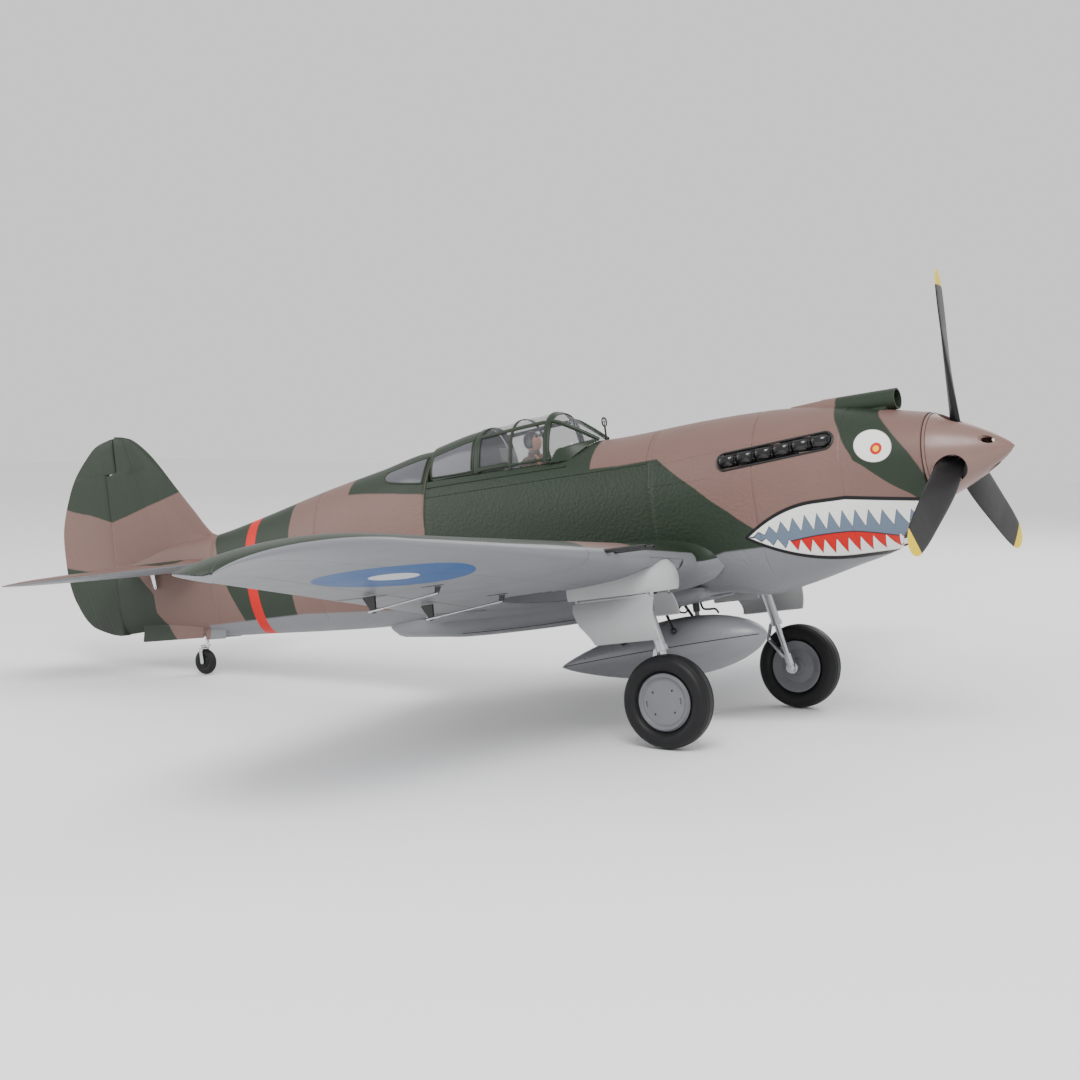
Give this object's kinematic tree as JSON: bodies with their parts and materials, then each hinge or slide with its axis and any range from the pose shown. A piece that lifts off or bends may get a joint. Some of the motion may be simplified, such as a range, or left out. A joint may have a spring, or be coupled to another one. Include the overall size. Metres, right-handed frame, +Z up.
{
  "type": "radio controlled warbird aircraft",
  "caption": "Radio controlled model of a low-wing wartime fighter with folding undercarriage, moving control surfaces, lift-off cockpit hatch and belly tank.",
  "frame": {"origin": "on the ground, below the middle of the main wheel axles, with the model resting on its three wheels", "axes": "+X towards the nose, +Y towards the left wing tip, +Z up"},
  "size_m": [1.1903, 1.3924, 0.4491],
  "materials": {
    "foam_upper": "painted expanded foam, matt camouflage",
    "foam_green": "painted expanded foam, matt dark green",
    "foam_grey": "painted expanded foam, matt grey",
    "pale_plastic": "moulded plastic, pale grey, satin",
    "black_plastic": "moulded plastic, black, satin",
    "spinner_plastic": "moulded plastic, painted brown, satin",
    "steel": "polished steel",
    "alloy": "machined alloy, satin",
    "rubber": "black rubber",
    "hub_plastic": "moulded plastic, grey",
    "carbon": "carbon tube, satin",
    "cell_wrap": "blue shrink wrap",
    "glazing": "clear moulded plastic",
    "figure": "painted plastic figure"
  },
  "bodies": {
    "airframe": {"fuselage": "foam_upper", "chin_duct": "pale_plastic", "exhaust_stacks": "black_plastic", "carburettor_scoop": "foam_green", "motor_base": "alloy", "speed_controller": "cell_wrap", "battery": "cell_wrap", "receiver": "black_plastic", "servos": "black_plastic", "wing_left": "foam_grey", "wing_right": "foam_grey", "spar_tube": "carbon", "wing_bolts": "steel", "hinge_pins": "steel", "stabilizer": "foam_upper", "tank_rack": "black_plastic", "gear_pods": "pale_plastic", "retract_units": "black_plastic", "wing_guns": "black_plastic"},
    "propeller": {"motor_bell": "steel", "spinner_backplate": "spinner_plastic", "spinner_cone": "spinner_plastic", "propeller": "black_plastic"},
    "elevator": {"elevator": "foam_green", "elevator_joiner": "steel"},
    "rudder": {"rudder": "foam_green"},
    "tail_fork": {"tail_strut": "steel"},
    "tail_wheel": {"tail_wheel": "rubber"},
    "hatch": {"hatch": "foam_green", "canopy_frame": "foam_green", "canopy_glass": "glazing", "pilot": "figure", "gun_sight": "black_plastic"},
    "drop_tank": {"drop_tank": "foam_grey"},
    "aileron_left": {"aileron_left": "foam_grey", "aileron_horn_left": "black_plastic"},
    "flap_left": {"flap_left": "foam_grey", "flap_horn_left": "black_plastic"},
    "aileron_pushrod_left": {"aileron_pushrod_left": "steel"},
    "flap_pushrod_left": {"flap_pushrod_left": "steel"},
    "trunnion_left": {"trunnion_left": "alloy"},
    "leg_left": {"leg_left": "alloy"},
    "piston_left": {"piston_left": "steel"},
    "wheel_left": {"hub_left": "hub_plastic", "tyre_left": "rubber"},
    "door_outer_left": {"door_outer_left": "pale_plastic"},
    "door_inner_left": {"door_inner_left": "pale_plastic"},
    "aileron_right": {"aileron_right": "foam_grey", "aileron_horn_right": "black_plastic"},
    "flap_right": {"flap_right": "foam_grey", "flap_horn_right": "black_plastic"},
    "aileron_pushrod_right": {"aileron_pushrod_right": "steel"},
    "flap_pushrod_right": {"flap_pushrod_right": "steel"},
    "trunnion_right": {"trunnion_right": "alloy"},
    "leg_right": {"leg_right": "alloy"},
    "piston_right": {"piston_right": "steel"},
    "wheel_right": {"hub_right": "hub_plastic", "tyre_right": "rubber"},
    "door_outer_right": {"door_outer_right": "pale_plastic"},
    "door_inner_right": {"door_inner_right": "pale_plastic"}
  },
  "joints": [
    {"name": "propeller_spin", "type": "hinge", "parent": "airframe", "child": "propeller", "pos_m": [-0.03061, 0, 0.23668], "axis": [0.9876, 0, 0.1571], "continuous": true},
    {"name": "aileron_left_hinge", "type": "hinge", "parent": "airframe", "child": "aileron_left", "pos_m": [-0.21418, 0.308, 0.15318], "axis": [0.1607, 0.9773, 0.1377], "range_deg": [-20, 20], "stiffness_Nm_per_rad": 1},
    {"name": "aileron_right_hinge", "type": "hinge", "parent": "airframe", "child": "aileron_right", "pos_m": [-0.21418, -0.308, 0.15318], "axis": [0.1607, -0.9773, 0.1377], "range_deg": [-20, 20], "stiffness_Nm_per_rad": 1},
    {"name": "flap_left_hinge", "type": "hinge", "parent": "airframe", "child": "flap_left", "pos_m": [-0.25001, 0.0805, 0.11116], "axis": [-0.1579, -0.9755, -0.1532], "range_deg": [0, 40], "stiffness_Nm_per_rad": 1},
    {"name": "flap_right_hinge", "type": "hinge", "parent": "airframe", "child": "flap_right", "pos_m": [-0.25001, -0.0805, 0.11116], "axis": [0.1579, -0.9755, 0.1532], "range_deg": [0, 40], "stiffness_Nm_per_rad": 1},
    {"name": "elevator_hinge", "type": "hinge", "parent": "airframe", "child": "elevator", "pos_m": [-0.75635, 0, 0.1204], "axis": [0, 1, 0], "range_deg": [-18, 18], "stiffness_Nm_per_rad": 1},
    {"name": "rudder_hinge", "type": "hinge", "parent": "airframe", "child": "rudder", "pos_m": [-0.82544, 0, 0.11549], "axis": [-0.1571, 0, 0.9876], "range_deg": [-22, 22], "stiffness_Nm_per_rad": 1},
    {"name": "aileron_pushrod_left_slide", "type": "slide", "parent": "airframe", "child": "aileron_pushrod_left", "axis": [-0.9592, 0, -0.2827], "range_m": [-0.00803, 0.00803]},
    {"name": "aileron_pushrod_right_slide", "type": "slide", "parent": "airframe", "child": "aileron_pushrod_right", "axis": [-0.9592, 0, -0.2827], "range_m": [-0.00803, 0.00803]},
    {"name": "flap_pushrod_left_slide", "type": "slide", "parent": "airframe", "child": "flap_pushrod_left", "axis": [0.9655, 0, 0.2604], "range_m": [0, 0.01159]},
    {"name": "flap_pushrod_right_slide", "type": "slide", "parent": "airframe", "child": "flap_pushrod_right", "axis": [0.9655, 0, 0.2604], "range_m": [0, 0.01159]},
    {"name": "gear_left_retract", "type": "hinge", "parent": "airframe", "child": "trunnion_left", "pos_m": [-0.04005, 0.13, 0.14324], "axis": [0, 1, 0], "range_deg": [0, 100]},
    {"name": "leg_left_twist", "type": "hinge", "parent": "trunnion_left", "child": "leg_left", "pos_m": [-0.04005, 0.13, 0.14324], "axis": [-0.3753, 0, 0.9269], "range_deg": [0, 90]},
    {"name": "oleo_left_slide", "type": "slide", "parent": "leg_left", "child": "piston_left", "axis": [-0.3753, 0, 0.9269], "range_m": [0, 0.006], "stiffness_N_per_m": 3000, "springref_m": -0.004},
    {"name": "wheel_left_spin", "type": "hinge", "parent": "piston_left", "child": "wheel_left", "pos_m": [0, 0.1505, 0.0443], "axis": [0, 1, 0], "continuous": true},
    {"name": "door_outer_left_hinge", "type": "hinge", "parent": "airframe", "child": "door_outer_left", "pos_m": [-0.01587, 0.1595, 0.14405], "axis": [0.9876, 0, 0.1571], "range_deg": [-50, 0]},
    {"name": "door_inner_left_hinge", "type": "hinge", "parent": "airframe", "child": "door_inner_left", "pos_m": [-0.01587, 0.1005, 0.14405], "axis": [0.9876, 0, 0.1571], "range_deg": [0, 50]},
    {"name": "gear_right_retract", "type": "hinge", "parent": "airframe", "child": "trunnion_right", "pos_m": [-0.04005, -0.13, 0.14324], "axis": [0, 1, 0], "range_deg": [0, 100]},
    {"name": "leg_right_twist", "type": "hinge", "parent": "trunnion_right", "child": "leg_right", "pos_m": [-0.04005, -0.13, 0.14324], "axis": [-0.3753, 0, 0.9269], "range_deg": [-90, 0]},
    {"name": "oleo_right_slide", "type": "slide", "parent": "leg_right", "child": "piston_right", "axis": [-0.3753, 0, 0.9269], "range_m": [0, 0.006], "stiffness_N_per_m": 3000, "springref_m": -0.004},
    {"name": "wheel_right_spin", "type": "hinge", "parent": "piston_right", "child": "wheel_right", "pos_m": [0, -0.1505, 0.0443], "axis": [0, 1, 0], "continuous": true},
    {"name": "door_outer_right_hinge", "type": "hinge", "parent": "airframe", "child": "door_outer_right", "pos_m": [-0.01587, -0.1595, 0.14405], "axis": [0.9876, 0, 0.1571], "range_deg": [0, 50]},
    {"name": "door_inner_right_hinge", "type": "hinge", "parent": "airframe", "child": "door_inner_right", "pos_m": [-0.01587, -0.1005, 0.14405], "axis": [0.9876, 0, 0.1571], "range_deg": [-50, 0]},
    {"name": "tail_steer", "type": "hinge", "parent": "airframe", "child": "tail_fork", "pos_m": [-0.68785, 0, 0.04625], "axis": [-0.1571, 0, 0.9876], "range_deg": [-22, 22]},
    {"name": "tail_wheel_spin", "type": "hinge", "parent": "tail_fork", "child": "tail_wheel", "pos_m": [-0.68966, 0, 0.015], "axis": [0, 1, 0], "continuous": true},
    {"name": "hatch_lift", "type": "slide", "parent": "airframe", "child": "hatch", "axis": [-0.1571, 0, 0.9876], "range_m": [0, 0.06]},
    {"name": "tank_release", "type": "slide", "parent": "airframe", "child": "drop_tank", "axis": [0.1571, 0, -0.9876], "range_m": [0, 0.03], "stiffness_N_per_m": 2000, "springref_m": -0.004}
  ],
  "couplings": [
    {"joint": "aileron_right_hinge", "follows": "aileron_left_hinge", "ratio": 1},
    {"joint": "flap_right_hinge", "follows": "flap_left_hinge", "ratio": 1},
    {"joint": "aileron_pushrod_left_slide", "follows": "aileron_left_hinge", "m_per_rad": 0.022973},
    {"joint": "aileron_pushrod_right_slide", "follows": "aileron_left_hinge", "m_per_rad": -0.022973},
    {"joint": "flap_pushrod_left_slide", "follows": "flap_left_hinge", "m_per_rad": 0.016593},
    {"joint": "flap_pushrod_right_slide", "follows": "flap_left_hinge", "m_per_rad": 0.016593},
    {"joint": "tail_steer", "follows": "rudder_hinge", "ratio": 1},
    {"joint": "gear_right_retract", "follows": "gear_left_retract", "ratio": 1},
    {"joint": "leg_left_twist", "follows": "gear_left_retract", "ratio": 0.9},
    {"joint": "leg_right_twist", "follows": "gear_left_retract", "ratio": -0.9},
    {"joint": "door_outer_left_hinge", "follows": "gear_left_retract", "ratio": -0.5},
    {"joint": "door_outer_right_hinge", "follows": "gear_left_retract", "ratio": 0.5},
    {"joint": "door_inner_left_hinge", "follows": "gear_left_retract", "ratio": 0.5},
    {"joint": "door_inner_right_hinge", "follows": "gear_left_retract", "ratio": -0.5}
  ]
}
